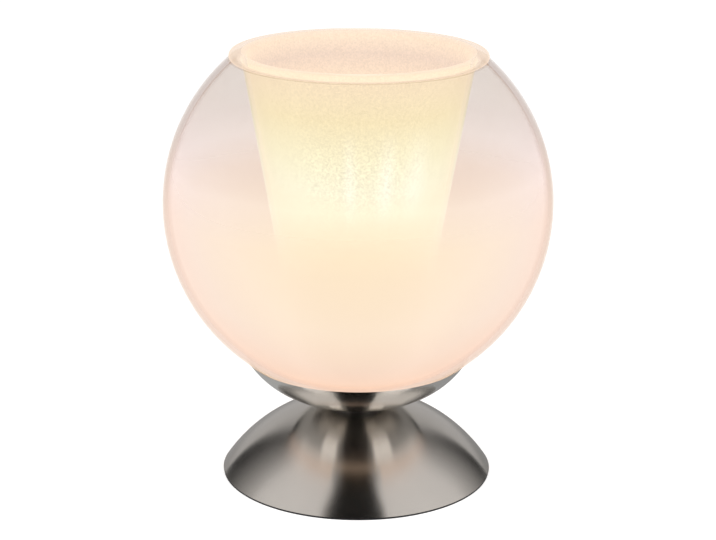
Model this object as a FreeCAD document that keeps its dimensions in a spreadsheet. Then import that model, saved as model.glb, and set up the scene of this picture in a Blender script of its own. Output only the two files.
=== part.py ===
"""A table lamp: a glass globe with a frosted glass tumbler hung in its mouth, on a spun metal cup and foot.

The frame stands on the table: the origin is the middle of the underside, +Z is up, the cable leaves
towards +Y and the front faces -Y. All sizes are in millimetres.
"""
import FreeCAD, Part
import math
import os
import re

import Sketcher

SIZES = [
    # the foot
    ("pad_thickness", 1.6, "soft pad under the foot"),
    ("pad_rim_inset", 0.2, "how far the pad's thin rim stays behind the dome's lower edge"),
    ("pad_rim_gap", 0.1, "gap between the pad's thin rim and the dome's lower edge above it"),
    ("dome_edge_height", 1.0, "height of the dome's lower edge above the table"),
    ("dome_radius", 70.8, "outside of the dome at its lower edge"),
    ("dome_height", 36.17, "height of the dome above its lower edge"),
    ("dome_wall", 0.8, "sheet of the dome"),
    ("flat_radius", 17.0, "flat seat in the middle of the dome and of the cup"),
    ("weight_thickness", 14.0, "iron disc inside the foot"),
    ("weight_gap", 0.3, "play between the iron disc and the dome"),
    ("weight_web", 3.5, "iron left above the recess for the nut"),
    ("recess_play", 1.5, "room round the flat washer in the recess under the iron disc"),
    ("slot_play", 0.6, "room beside the cable inlet in the slot of the iron disc"),
    # the cable inlet at the back
    ("inlet_height", 8.6, "middle of the cable inlet above the table"),
    ("inlet_radius", 4.6, "outside of the inlet bush"),
    ("inlet_bore", 3.3, "hole in the inlet bush"),
    ("inlet_collar", 2.0, "length of the collar along the cable"),
    ("inlet_length", 21.5, "length of the whole bush"),
    ("inlet_reach", 0.7, "how far the bush stands out behind the dome's lower edge"),
    # the threaded tube and what it clamps
    ("tube_radius", 5.0, "outside of the threaded tube"),
    ("tube_bore", 3.5, "hole in the threaded tube"),
    ("tube_tail", 1.0, "tube that shows under its nut"),
    ("hole_play", 0.2, "play of the tube in the holes that it passes"),
    ("screw_play", 0.05, "play between two threads, which are modelled smooth"),
    ("nut_flats", 14.0, "width of the nut across its flats"),
    ("nut_thickness", 3.0, "height of the nut"),
    ("washer_radius", 11.5, "flat washer"),
    ("washer_thickness", 1.0, "flat washer"),
    ("lock_washer_radius", 8.5, "toothed lock washer"),
    ("lock_washer_thickness", 0.8, "toothed lock washer"),
    ("sleeve_radius", 3.45, "outside of the plastic bushes in the tube's ends"),
    ("sleeve_bore", 2.6, "hole in those bushes"),
    ("sleeve_length", 6.0, "how far those bushes reach into the tube"),
    ("sleeve_head_radius", 5.0, "head of those bushes"),
    ("sleeve_head", 0.8, "height of that head"),
    ("spacer_step", 4.0, "how far the disc between the dome and the cup stays inside their flats"),
    ("spacer_thickness", 3.4, "disc between the dome and the cup"),
    # the cup
    ("cup_radius", 58.3, "outside of the cup at its rim"),
    ("cup_wall", 0.8, "sheet of the cup"),
    ("cup_spare", 1.2, "spare rim that is trimmed to the globe's curve"),
    ("rim_gap", 0.3, "gap between the cup's rim and the globe"),
    ("gasket_inset", 3.3, "how far the silicone gasket under the globe stays inside the cup's rim"),
    ("gasket_width", 4.0, "width of that gasket"),
    ("seat_gap", 0.05, "gap between pieces that touch"),
    # the globe
    ("globe_radius", 100.0, "outside of the globe"),
    ("globe_wall", 3.0, "glass of the globe"),
    ("globe_lift", 6.22, "height of the hole's edge above the cup's floor"),
    ("globe_hole_play", 1.6, "room round the holder's thread in the hole of the globe"),
    ("mouth_radius", 65.9, "outside of the ground mouth"),
    # the frosted tumbler in the mouth
    ("tumbler_inset", 6.9, "how far the tumbler stays inside the outside of the mouth"),
    ("tumbler_foot", 34.0, "outside of the tumbler at its open lower end"),
    ("tumbler_wall", 2.5, "glass of the tumbler"),
    ("tumbler_lift", 29.86, "height of the tumbler's lower end above the edge of the globe's hole"),
    ("lip_inset", 1.7, "how far the lip's rounded edge starts inside the outside of the mouth"),
    ("lip_thickness", 3.8, "height of the lip above the mouth"),
    ("lip_bulge", 1.2, "how far that edge is rounded outwards"),
    ("lip_flare", 2.6, "radius of the lip's inner edge"),
    # the lampholder
    ("cap_radius", 18.3, "outside of the holder's cap"),
    ("cap_height", 18.6, "height of the cap"),
    ("cap_floor", 3.0, "thickness of the cap's floor"),
    ("cap_rim", 1.7, "wall of the cap round the insert"),
    ("cap_ledge", 1.5, "width of the ledge in the cap that the insert sits on"),
    ("cap_bevel", 1.0, "height of the bevel round the cap's floor"),
    ("boss_wall", 3.45, "wall of the threaded boss inside the cap"),
    ("boss_height", 6.0, "height of that boss above the floor"),
    ("insert_seat", 4.0, "how deep the insert that carries the contacts sits in the cap"),
    ("insert_rise", 6.0, "how far the insert stands above the cap"),
    ("skirt_wall", 1.5, "wall of the skirt round the cap, with the thread for the shade ring outside"),
    ("collar_seat", 4.0, "how far the skirt's collar reaches under the globe from the edge of the hole"),
    ("collar_thickness", 2.0, "thickness of that collar"),
    ("skirt_height", 35.0, "height of the skirt above the cap"),
    ("shell_play", 0.08, "play of the bulb's cap in the brass shell that it screws into"),
    ("shell_wall", 0.4, "sheet of the brass shell"),
    ("shell_height", 24.0, "height of the brass shell"),
    ("shell_clear", 1.5, "gap between the foot of the brass shell and the centre contact"),
    ("holder_play", 0.1, "play between the holder's pieces"),
    ("contact_height", 2.0, "height of the centre contact's spring"),
    ("contact_sheet", 0.4, "sheet of that spring"),
    ("contact_reach", 7.5, "half length of that spring"),
    ("contact_foot", 3.0, "length of each of its feet"),
    ("contact_width", 5.0, "width of that spring"),
    ("terminal_place", 9.5, "distance of each terminal screw from the axis"),
    ("terminal_radius", 1.5, "terminal screw"),
    ("terminal_length", 8.0, "terminal screw inside the insert"),
    ("terminal_head_radius", 2.8, "head of the terminal screw"),
    ("terminal_head", 2.2, "height of that head"),
    ("terminal_slot", 0.8, "width and depth of the slot in that head"),
    # the ring that clamps the globe on the holder's collar
    ("ring_seat", 6.5, "how far the shade ring reaches over the globe from the edge of the hole"),
    ("ring_flange", 1.6, "thickness of the ring's flange"),
    ("ring_height", 6.0, "height of the ring"),
    ("ring_wall", 2.0, "wall of the ring's collar"),
    # the bulb
    ("tip_radius", 4.8, "solder contact at the bottom of the bulb"),
    ("tip_height", 1.2, "solder contact"),
    ("insulator_height", 5.0, "black glass cone between the contact and the cap"),
    ("insulator_step", 1.7, "how far the top of that cone stays inside the cap"),
    ("bulb_cap_radius", 13.2, "outside of the bulb's screw cap"),
    ("bulb_cap_height", 19.5, "height of the screw cap"),
    ("bulb_cap_wall", 0.4, "sheet of the screw cap"),
    ("neck_play", 0.2, "cement between the glass neck and the screw cap"),
    ("neck_depth", 10.0, "how deep the neck sits in the cap"),
    ("collar_step", 1.4, "how far the glass just above the screw cap stands out over it"),
    ("collar_rise", 2.4, "height at which the glass has left the cap"),
    ("bulb_radius", 30.0, "widest part of the bulb"),
    ("bulb_rise", 75.0, "height of the widest part above the bulb's contact"),
    ("shoulder_step", 1.7, "how far inside the widest part the neck's cone meets the round of the bulb"),
    ("bulb_wall", 0.8, "glass of the bulb"),
    ("stem_radius", 3.0, "glass stem inside the bulb"),
    ("stem_foot_play", 0.8, "room round the flare at the stem's lower end"),
    ("stem_flare_height", 6.0, "height of that flare"),
    ("stem_rise", 2.0, "how far the stem stands above the lower wire ring"),
    ("filament_radius", 0.9, "one glowing stick"),
    ("filament_length", 34.0, "one glowing stick"),
    ("filament_circle", 14.0, "circle on which the sticks stand"),
    ("filament_turn", 72.5, "turn of the first stick from the front, in degrees"),
    ("wire_radius", 0.4, "wires that carry the sticks"),
]
FILAMENT_COUNT = 4
NUT_SIDES = 6
HALF_TURN = 180
FULL_TURN = 360

doc = FreeCAD.newDocument("globe_table_lamp")
sheet = doc.addObject("Spreadsheet::Sheet", "Sizes")
for row, (alias, number, meaning) in enumerate(SIZES, start=1):
    sheet.set("A%d" % row, alias)
    sheet.set("B%d" % row, str(number))
    sheet.set("C%d" % row, meaning)
    sheet.setAlias("B%d" % row, alias)
doc.recompute()
ALIASES = {alias for alias, number, meaning in SIZES}


def bound(text):
    """The expression on the sheet's cells that a text such as 'cup_radius - cup_wall' stands for."""
    return re.sub(r"[a-z_]+", lambda word: ("Sizes." if word.group() in ALIASES else "") + word.group(), text)


def size(text):
    """The number that such a text comes to."""
    return float(sheet.evalExpression(bound(text)))


def bracket(text):
    """The same text, safe inside a longer one."""
    return "(" + text + ")"


def leg(slant, side):
    """Text for the third side of a right triangle with this slant and this side."""
    return "sqrt((%s)^2 - (%s)^2)" % (slant, side)


# Widths that several pieces share, each worked out from what the piece has to fit.
TUBE_HOLE = "(tube_radius + hole_play)"
RECESS_RADIUS = "(washer_radius + recess_play)"
SLOT_HALF = "(inlet_radius + slot_play)"
INLET_END = "(dome_radius + inlet_reach)"
INLET_START = "(%s - inlet_length)" % INLET_END
SPACER_RADIUS = "(flat_radius - spacer_step)"
GASKET_OUTER = "(cup_radius - gasket_inset)"
GASKET_INNER = "(%s - gasket_width)" % GASKET_OUTER
INSERT_RADIUS = "(cap_radius - cap_rim - holder_play)"
BOSS_RADIUS = "(tube_radius + screw_play + boss_wall)"
THREAD_RADIUS = "(cap_radius + holder_play + skirt_wall)"
GLOBE_HOLE = "(%s + globe_hole_play)" % THREAD_RADIUS
COLLAR_RADIUS = "(%s + collar_seat)" % GLOBE_HOLE
RING_RADIUS = "(%s + ring_seat)" % GLOBE_HOLE
TUMBLER_TOP = "(mouth_radius - tumbler_inset)"
LIP_RADIUS = "(mouth_radius - lip_inset)"
SHELL_BORE = "(bulb_cap_radius + shell_play)"
SHELL_FOOT = "(contact_reach + shell_clear)"
CONTACT_TOP = "(contact_reach - contact_foot)"
NECK_RADIUS = "(bulb_cap_radius - bulb_cap_wall - neck_play)"
COLLAR_ROUND = "(bulb_cap_radius + collar_step)"
SHOULDER_RADIUS = "(bulb_radius - shoulder_step)"

# The two spun curves: the dome's is part of a ball round the lamp's axis, and the cup's leaves its flat
# floor without an edge. Each is the one curve that joins its flat to its rim.
DOME_DROP = "((dome_radius^2 - flat_radius^2 - dome_height^2) / (2 * dome_height))"
DOME_CURVE = "sqrt(dome_radius^2 + %s^2)" % DOME_DROP

# Heights that several pieces share, each worked out from the pieces below it.
PAD_TOP = "pad_thickness"
PAD_RIM_TOP = "(dome_edge_height - pad_rim_gap)"
WEIGHT_TOP = "(pad_thickness + weight_thickness)"
RECESS_TOP = "(pad_thickness + weight_thickness - weight_web)"
WASHER_BOTTOM = "(%s - washer_thickness)" % RECESS_TOP
LOCK_WASHER_BOTTOM = "(%s - lock_washer_thickness)" % WASHER_BOTTOM
NUT_BOTTOM = "(%s - nut_thickness)" % LOCK_WASHER_BOTTOM
TUBE_BOTTOM = "(%s - tube_tail)" % NUT_BOTTOM
DOME_CENTRE = "(dome_edge_height - %s)" % DOME_DROP
DOME_TOP = "(dome_edge_height + dome_height)"
CUP_BOTTOM = "(%s + spacer_thickness)" % DOME_TOP
CAP_BOTTOM = "(%s + cup_wall)" % CUP_BOTTOM
HOLE_EDGE = "(%s + globe_lift)" % CAP_BOTTOM
GLOBE_CENTRE = "(%s + %s)" % (HOLE_EDGE, leg("globe_radius", GLOBE_HOLE))
MOUTH_RISE = leg("globe_radius", "mouth_radius")
MOUTH = "(%s + %s)" % (GLOBE_CENTRE, MOUTH_RISE)
TUMBLER_BOTTOM = "(%s + tumbler_lift)" % HOLE_EDGE
CUP_DEPTH = "(%s - %s - %s)" % (GLOBE_CENTRE, leg("globe_radius + rim_gap", "cup_radius"), CUP_BOTTOM)
CUP_CURVE = "(((cup_radius - flat_radius)^2 + %s^2) / (2 * %s))" % (CUP_DEPTH, CUP_DEPTH)
CUP_CENTRE = "(%s + %s)" % (CUP_BOTTOM, CUP_CURVE)
CAP_TOP = "(%s + cap_height)" % CAP_BOTTOM
BOSS_TOP = "(%s + cap_floor + boss_height)" % CAP_BOTTOM
INSERT_BOTTOM = "(%s - insert_seat)" % CAP_TOP
INSERT_TOP = "(%s + insert_rise)" % CAP_TOP
COLLAR_TOP = "(%s - seat_gap)" % HOLE_EDGE
RING_BOTTOM = "(%s - %s + seat_gap)" % (GLOBE_CENTRE, leg("globe_radius - globe_wall", RING_RADIUS))
BULB_BOTTOM = "(%s + contact_height + seat_gap)" % INSERT_TOP
BULB_CAP_BOTTOM = "(%s + tip_height + insulator_height)" % BULB_BOTTOM
BULB_CAP_TOP = "(%s + bulb_cap_height)" % BULB_CAP_BOTTOM
BULB_CENTRE = "(%s + bulb_rise)" % BULB_BOTTOM
STEM_BOTTOM = "(%s - neck_depth + bulb_wall)" % BULB_CAP_TOP
FILAMENT_BOTTOM = "(%s - filament_length / 2)" % BULB_CENTRE
FILAMENT_TOP = "(%s + filament_length / 2)" % BULB_CENTRE
STEM_TOP = "(%s + stem_rise)" % FILAMENT_BOTTOM


def start_body(label):
    """A new empty body with this name."""
    body = doc.addObject("PartDesign::Body", label)
    body.Label = label
    return body


def start_sketch(body, role, name):
    """A sketch on one of the body's own origin planes."""
    sketch = body.newObject("Sketcher::SketchObject", name)
    plane = [item for item in body.Origin.OriginFeatures if item.Role == role][0]
    sketch.AttachmentSupport = [(plane, "")]
    sketch.MapMode = "FlatFace"
    return sketch


def bind(sketch, constraint, name, text):
    """Add a sized constraint and tie it to the sheet."""
    index = sketch.addConstraint(constraint)
    sketch.renameConstraint(index, name)
    sketch.setExpression("Constraints." + name, bound(text))


def hold_corner(sketch, edge, point, name, corner):
    """Hold one corner at its two distances from the origin, both tied to the sheet."""
    for axis, kind, text in ((-2, "DistanceX", corner[0]), (-1, "DistanceY", corner[1])):
        if text == "0":
            sketch.addConstraint(Sketcher.Constraint("PointOnObject", edge, point, axis))
        else:
            constraint = Sketcher.Constraint(kind, -1, 1, edge, point, size(text))
            bind(sketch, constraint, name + kind[-1].lower(), text)


def arc_between(start, end, radius, turns_left):
    """The arc of under a half circle from start to end, which keeps its centre on one side."""
    chord = end - start
    side = FreeCAD.Vector(-chord.y, chord.x, 0).normalize() * (1 if turns_left else -1)
    centre = (start + end) / 2 + side * math.sqrt(radius ** 2 - (chord.Length / 2) ** 2)
    angles = [math.atan2(point.y - centre.y, point.x - centre.x) for point in (start, end)]
    if not turns_left:
        angles.reverse()
    return Part.ArcOfCircle(Part.Circle(centre, FreeCAD.Vector(0, 0, 1), radius), *angles)


def draw_outline(sketch, corners, arcs=None):
    """Draw a closed outline through corners given as pairs of texts.

    arcs names the edges that aren't straight: the edge's number, its radius, and left or right for the
    side on which its centre lies as the outline is walked.
    """
    arcs = arcs or {}
    points = [FreeCAD.Vector(size(across), size(up), 0) for across, up in corners]
    ends = []
    for edge, start in enumerate(points):
        end = points[(edge + 1) % len(points)]
        if edge in arcs:
            radius, side = arcs[edge]
            sketch.addGeometry(arc_between(start, end, size(radius), side == "left"), False)
            ends.append((1, 2) if side == "left" else (2, 1))
        else:
            sketch.addGeometry(Part.LineSegment(start, end), False)
            ends.append((1, 2))
    for edge, (first, last) in enumerate(ends):
        following = (edge + 1) % len(ends)
        sketch.addConstraint(Sketcher.Constraint("Coincident", edge, last, following, ends[following][0]))
    for edge, (first, last) in enumerate(ends):
        hold_corner(sketch, edge, first, "corner%d" % edge, corners[edge])
    for edge, (radius, side) in arcs.items():
        bind(sketch, Sketcher.Constraint("Radius", edge, size(radius)), "radius%d" % edge, radius)


def draw_circle(sketch, radius, across="0", up="0"):
    """Draw a circle whose middle and radius are tied to the sheet."""
    middle = FreeCAD.Vector(size(across), size(up), 0)
    edge = sketch.addGeometry(Part.Circle(middle, FreeCAD.Vector(0, 0, 1), size(radius)), False)
    hold_corner(sketch, edge, 3, "middle%d" % edge, (across, up))
    bind(sketch, Sketcher.Constraint("Radius", edge, size(radius)), "radius%d" % edge, radius)


def turned(label, corners, arcs=None):
    """A piece turned about the lamp's axis from an outline of radius and height."""
    body = start_body(label)
    sketch = start_sketch(body, "XZ_Plane", label + "_outline")
    draw_outline(sketch, corners, arcs)
    turn = body.newObject("PartDesign::Revolution", label + "_turn")
    turn.Profile = sketch
    turn.ReferenceAxis = (sketch, ["V_Axis"])
    turn.Angle = FULL_TURN
    sketch.Visibility = False
    doc.recompute()
    return body


def ring(label, inner, outer, bottom, top):
    """A plain ring or washer."""
    return turned(label, [(inner, bottom), (outer, bottom), (outer, top), (inner, top)])


def padded(body, sketch, name, length, bottom=None, both_ways=False):
    """Pad a sketch upwards, from this height if one is given, or half of it to either side."""
    if bottom:
        sketch.setExpression(".AttachmentOffset.Base.z", bound(bottom))
    pad = body.newObject("PartDesign::Pad", name)
    pad.Profile = sketch
    pad.setExpression("Length", bound(length))
    pad.Midplane = both_ways
    doc.recompute()


def pocketed(body, sketch, name):
    """Cut a sketch right through the body, both ways, and see that it took something away."""
    before = body.Shape.Volume
    pocket = body.newObject("PartDesign::Pocket", name)
    pocket.Profile = sketch
    pocket.Type = "ThroughAll"
    pocket.Midplane = True
    doc.recompute()
    if not body.Shape.Volume < before:
        raise RuntimeError(name + " cut nothing away")


def primitive(kind, name, sizes, place=("0", "0", "0"), rotation=None):
    """A box, cylinder, sphere, cone or torus whose sizes and place are tied to the sheet."""
    item = doc.addObject("Part::" + kind, name)
    for prop, text in sizes.items():
        item.setExpression(prop, bound(text))
    if rotation:
        item.Placement = FreeCAD.Placement(FreeCAD.Vector(), rotation)
    for letter, text in zip("xyz", place):
        if text != "0":
            item.setExpression(".Placement.Base." + letter, bound(text))
    return item


def cut(label, base, tool):
    """One piece less another, which has to take something away."""
    item = doc.addObject("Part::Cut", label)
    item.Label = label
    item.Base = base
    item.Tool = tool
    doc.recompute()
    if not item.Shape.Volume < base.Shape.Volume:
        raise RuntimeError(label + " cut nothing away")
    return item


def together(kind, label, items):
    """Several shapes as one: MultiFuse joins them, Compound keeps them apart."""
    item = doc.addObject("Part::" + kind, label)
    item.Label = label
    setattr(item, "Links" if kind == "Compound" else "Shapes", items)
    doc.recompute()
    return item


BACKWARDS = FreeCAD.Rotation(FreeCAD.Vector(1, 0, 0), -90)      # a cylinder laid down towards +Y


# ---- the foot: pad, iron disc, dome and cable inlet ----

def weight_edge(height):
    """Radius of the iron disc at a height: the dome's inside, less the play."""
    return leg(DOME_CURVE + " - dome_wall - weight_gap", "%s - %s" % (height, DOME_CENTRE))


def make_base_pad():
    """The soft disc glued under the iron disc, with a thin rim that reaches out under the dome's edge."""
    return turned("base_pad", [
        ("0", "0"),
        ("dome_radius - pad_rim_inset", "0"),
        ("dome_radius - pad_rim_inset", PAD_RIM_TOP),
        (weight_edge(PAD_TOP), PAD_RIM_TOP),
        (weight_edge(PAD_TOP), PAD_TOP),
        ("0", PAD_TOP),
    ])


def make_base_weight():
    """The iron disc that keeps the lamp upright, recessed for the nut and slotted for the cable."""
    body = turned("base_weight", [
        (RECESS_RADIUS, PAD_TOP),
        (weight_edge(PAD_TOP), PAD_TOP),
        (weight_edge(WEIGHT_TOP), WEIGHT_TOP),
        (TUBE_HOLE, WEIGHT_TOP),
        (TUBE_HOLE, RECESS_TOP),
        (RECESS_RADIUS, RECESS_TOP),
    ], {1: (DOME_CURVE + " - dome_wall - weight_gap", "left")})
    sketch = start_sketch(body, "XY_Plane", "cable_slot_outline")
    draw_outline(sketch, [
        ("-" + SLOT_HALF, "washer_radius"),
        (SLOT_HALF, "washer_radius"),
        (SLOT_HALF, "dome_radius"),
        ("-" + SLOT_HALF, "dome_radius"),
    ])
    pocketed(body, sketch, "cable_slot")
    return body


def make_base_dome():
    """The spun dome, with a hole at the top for the tube and one at the back for the cable inlet."""
    inside = DOME_CURVE + " - dome_wall"
    ceiling = bracket("%s - dome_wall" % DOME_TOP)
    shell = turned("dome_shell", [
        ("dome_radius", "dome_edge_height"),
        ("flat_radius", DOME_TOP),
        (TUBE_HOLE, DOME_TOP),
        (TUBE_HOLE, ceiling),
        (leg(inside, "%s - %s" % (ceiling, DOME_CENTRE)), ceiling),
        (leg(inside, "dome_edge_height - %s" % DOME_CENTRE), "dome_edge_height"),
    ], {0: (DOME_CURVE, "left"), 4: (inside, "right")})
    drill = primitive("Cylinder", "inlet_drill",
                      {"Radius": "inlet_radius + screw_play", "Height": "dome_radius"},
                      ("0", RECESS_RADIUS, "inlet_height"), BACKWARDS)
    return cut("base_dome", shell, drill)


def make_cable_inlet():
    """The plastic bush in the back of the dome that the cable comes through, with a collar inside."""
    barrel = primitive("Cylinder", "inlet_barrel",
                       {"Radius": "inlet_radius", "Height": "inlet_length"},
                       ("0", INLET_START, "inlet_height"), BACKWARDS)
    collar = primitive("Cylinder", "inlet_inner_collar",
                       {"Radius": SLOT_HALF + " - hole_play / 2", "Height": "inlet_collar"},
                       ("0", INLET_START, "inlet_height"), BACKWARDS)
    bore = primitive("Cylinder", "inlet_hole", {"Radius": "inlet_bore", "Height": "dome_radius"},
                     ("0", INLET_START + " / 2", "inlet_height"), BACKWARDS)
    return cut("cable_inlet", together("MultiFuse", "inlet_blank", [barrel, collar]), bore)


# ---- the threaded tube and what it clamps ----

def make_threaded_tube():
    """The tube that pulls the iron disc, dome, spacer, cup and lampholder together."""
    return ring("threaded_tube", "tube_bore", "tube_radius", TUBE_BOTTOM, BOSS_TOP)


def make_tube_nut():
    """The thin hexagon nut on the tube's lower end."""
    body = start_body("tube_nut")
    sketch = start_sketch(body, "XY_Plane", "tube_nut_outline")
    corner = "nut_flats / sqrt(3) * %s(%d)"
    steps = [FULL_TURN // NUT_SIDES * side for side in range(NUT_SIDES)]
    draw_outline(sketch, [(corner % ("cos", step), corner % ("sin", step) if step % HALF_TURN else "0")
                          for step in steps])
    draw_circle(sketch, "tube_radius + screw_play")
    padded(body, sketch, "tube_nut_block", "nut_thickness", NUT_BOTTOM)
    return body


def make_tube_bushes():
    """The plastic bush at each end of the tube, which keeps the cable off its sharp edge."""
    lower = turned("tube_bush_lower", [
        ("sleeve_bore", TUBE_BOTTOM + " - sleeve_head"),
        ("sleeve_head_radius", TUBE_BOTTOM + " - sleeve_head"),
        ("sleeve_head_radius", TUBE_BOTTOM),
        ("sleeve_radius", TUBE_BOTTOM),
        ("sleeve_radius", TUBE_BOTTOM + " + sleeve_length"),
        ("sleeve_bore", TUBE_BOTTOM + " + sleeve_length"),
    ])
    upper = turned("tube_bush_upper", [
        ("sleeve_bore", BOSS_TOP + " - sleeve_length"),
        ("sleeve_radius", BOSS_TOP + " - sleeve_length"),
        ("sleeve_radius", BOSS_TOP),
        ("sleeve_head_radius", BOSS_TOP),
        ("sleeve_head_radius", BOSS_TOP + " + sleeve_head"),
        ("sleeve_bore", BOSS_TOP + " + sleeve_head"),
    ])
    return [lower, upper]


def make_washers():
    """The flat washer under the iron disc, the toothed one under it and the disc below the cup."""
    flat = ring("flat_washer", TUBE_HOLE, "washer_radius", WASHER_BOTTOM, RECESS_TOP)
    lock = ring("lock_washer", TUBE_HOLE, "lock_washer_radius", LOCK_WASHER_BOTTOM, WASHER_BOTTOM)
    spacer = ring("neck_spacer", TUBE_HOLE, SPACER_RADIUS, DOME_TOP, CUP_BOTTOM)
    return [flat, lock, spacer]


# ---- the cup and its gasket ----

def make_cup():
    """The spun cup, its rim trimmed to follow the globe."""
    rim = bracket("cup_radius + cup_spare")
    inside = CUP_CURVE + " - cup_wall"
    blank = turned("cup_blank", [
        (TUBE_HOLE, CUP_BOTTOM),
        ("flat_radius", CUP_BOTTOM),
        (rim, "%s - %s" % (CUP_CENTRE, leg(CUP_CURVE, rim + " - flat_radius"))),
        (rim + " - cup_wall", "%s - %s" % (CUP_CENTRE, leg(inside, rim + " - cup_wall - flat_radius"))),
        ("flat_radius", CAP_BOTTOM),
        (TUBE_HOLE, CAP_BOTTOM),
    ], {1: (CUP_CURVE, "left"), 3: (inside, "right")})
    trimmer = primitive("Sphere", "cup_trimmer", {"Radius": "globe_radius + rim_gap"},
                        ("0", "0", GLOBE_CENTRE))
    return cut("cup", blank, trimmer)


def make_cup_gasket():
    """The silicone ring that fills the wedge between the cup and the globe."""
    below = CUP_CURVE + " - cup_wall - seat_gap"
    above = "globe_radius + seat_gap"
    return turned("cup_gasket", [
        (GASKET_INNER, "%s - %s" % (CUP_CENTRE, leg(below, GASKET_INNER + " - flat_radius"))),
        (GASKET_OUTER, "%s - %s" % (CUP_CENTRE, leg(below, GASKET_OUTER + " - flat_radius"))),
        (GASKET_OUTER, "%s - %s" % (GLOBE_CENTRE, leg(above, GASKET_OUTER))),
        (GASKET_INNER, "%s - %s" % (GLOBE_CENTRE, leg(above, GASKET_INNER))),
    ], {0: (below, "left"), 2: (above, "right")})


# ---- the two glasses ----

def make_globe_glass():
    """The blown globe, drilled at the bottom and ground flat at the mouth."""
    inside = "globe_radius - globe_wall"
    return turned("globe_glass", [
        (GLOBE_HOLE, HOLE_EDGE),
        ("mouth_radius", MOUTH),
        (leg(inside, MOUTH_RISE), MOUTH),
        (GLOBE_HOLE, "%s - %s" % (GLOBE_CENTRE, leg(inside, GLOBE_HOLE))),
    ], {0: ("globe_radius", "left"), 2: (inside, "right")})


def make_inner_glass():
    """The frosted tumbler, open at both ends, that hangs by its rolled lip in the globe's mouth."""
    lip_top = bracket("%s + lip_thickness" % MOUTH)
    inside = bracket(TUMBLER_TOP + " - tumbler_wall")
    edge_round = "((lip_thickness / 2)^2 + lip_bulge^2) / (2 * lip_bulge)"
    return turned("inner_glass", [
        ("tumbler_foot - tumbler_wall", TUMBLER_BOTTOM),
        ("tumbler_foot", TUMBLER_BOTTOM),
        (TUMBLER_TOP, MOUTH),
        (LIP_RADIUS, MOUTH),
        (LIP_RADIUS, lip_top),
        (inside + " + lip_flare", lip_top),
        (inside, lip_top + " - lip_flare"),
    ], {3: (edge_round, "left"), 5: ("lip_flare", "left")})


# ---- the lampholder ----

def make_holder_cap():
    """The holder's lower half, screwed on the tube so that it clamps the cup."""
    return turned("holder_cap", [
        ("tube_radius + screw_play", CAP_BOTTOM),
        ("cap_radius - cap_rim", CAP_BOTTOM),
        ("cap_radius", CAP_BOTTOM + " + cap_bevel"),
        ("cap_radius", CAP_TOP),
        (INSERT_RADIUS + " + holder_play", CAP_TOP),
        (INSERT_RADIUS + " + holder_play", INSERT_BOTTOM),
        (INSERT_RADIUS + " - cap_ledge", INSERT_BOTTOM),
        (INSERT_RADIUS + " - cap_ledge", CAP_BOTTOM + " + cap_floor"),
        (BOSS_RADIUS, CAP_BOTTOM + " + cap_floor"),
        (BOSS_RADIUS, BOSS_TOP),
        ("tube_radius + screw_play", BOSS_TOP),
    ])


def make_holder_insert():
    """The insulating disc that carries the contacts and the terminal screws."""
    body = start_body("holder_insert")
    sketch = start_sketch(body, "XY_Plane", "holder_insert_outline")
    draw_circle(sketch, INSERT_RADIUS)
    padded(body, sketch, "holder_insert_disc", "insert_seat + insert_rise", INSERT_BOTTOM)
    holes = start_sketch(body, "XY_Plane", "terminal_holes_outline")
    draw_circle(holes, "terminal_radius + screw_play", "terminal_place")
    draw_circle(holes, "terminal_radius + screw_play", "-terminal_place")
    pocketed(body, holes, "terminal_holes")
    return body


def make_terminal_screws():
    """The two slotted screws under the insert that grip the cable's ends."""
    head_bottom = "%s - terminal_head" % INSERT_BOTTOM
    screws = []
    for side, place in (("left", "-terminal_place"), ("right", "terminal_place")):
        shank = primitive("Cylinder", side + "_screw_shank",
                          {"Radius": "terminal_radius", "Height": "terminal_length"},
                          (place, "0", INSERT_BOTTOM))
        head = primitive("Cylinder", side + "_screw_head",
                         {"Radius": "terminal_head_radius", "Height": "terminal_head"},
                         (place, "0", head_bottom))
        slot = primitive("Box", side + "_screw_slot",
                         {"Length": "terminal_slot", "Width": "terminal_head_radius * 2",
                          "Height": "terminal_slot"},
                         (place + " - terminal_slot / 2", "-terminal_head_radius", head_bottom))
        blank = together("MultiFuse", side + "_screw_blank", [shank, head])
        screws.append(cut(side + "_screw", blank, slot))
    return together("Compound", "terminal_screws", screws)


def make_holder_contact():
    """The sprung bridge of sheet brass that the bulb's tip presses on."""
    body = start_body("centre_contact")
    sketch = start_sketch(body, "XZ_Plane", "centre_contact_outline")
    foot = INSERT_TOP
    bridge = bracket("%s + contact_height" % INSERT_TOP)
    draw_outline(sketch, [
        ("-contact_reach", foot),
        ("-" + CONTACT_TOP + " + contact_sheet", foot),
        ("-" + CONTACT_TOP + " + contact_sheet", bridge + " - contact_sheet"),
        (CONTACT_TOP + " - contact_sheet", bridge + " - contact_sheet"),
        (CONTACT_TOP + " - contact_sheet", foot),
        ("contact_reach", foot),
        ("contact_reach", foot + " + contact_sheet"),
        (CONTACT_TOP, foot + " + contact_sheet"),
        (CONTACT_TOP, bridge),
        ("-" + CONTACT_TOP, bridge),
        ("-" + CONTACT_TOP, foot + " + contact_sheet"),
        ("-contact_reach", foot + " + contact_sheet"),
    ])
    padded(body, sketch, "centre_contact_strip", "contact_width", both_ways=True)
    return body


def make_holder_shell():
    """The brass shell that the bulb screws into, the side contact."""
    outside = bracket(SHELL_BORE + " + shell_wall")
    return turned("holder_shell", [
        (SHELL_FOOT, INSERT_TOP),
        (outside, INSERT_TOP),
        (outside, INSERT_TOP + " + shell_height"),
        (SHELL_BORE, INSERT_TOP + " + shell_height"),
        (SHELL_BORE, INSERT_TOP + " + shell_wall"),
        (SHELL_FOOT, INSERT_TOP + " + shell_wall"),
    ])


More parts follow.
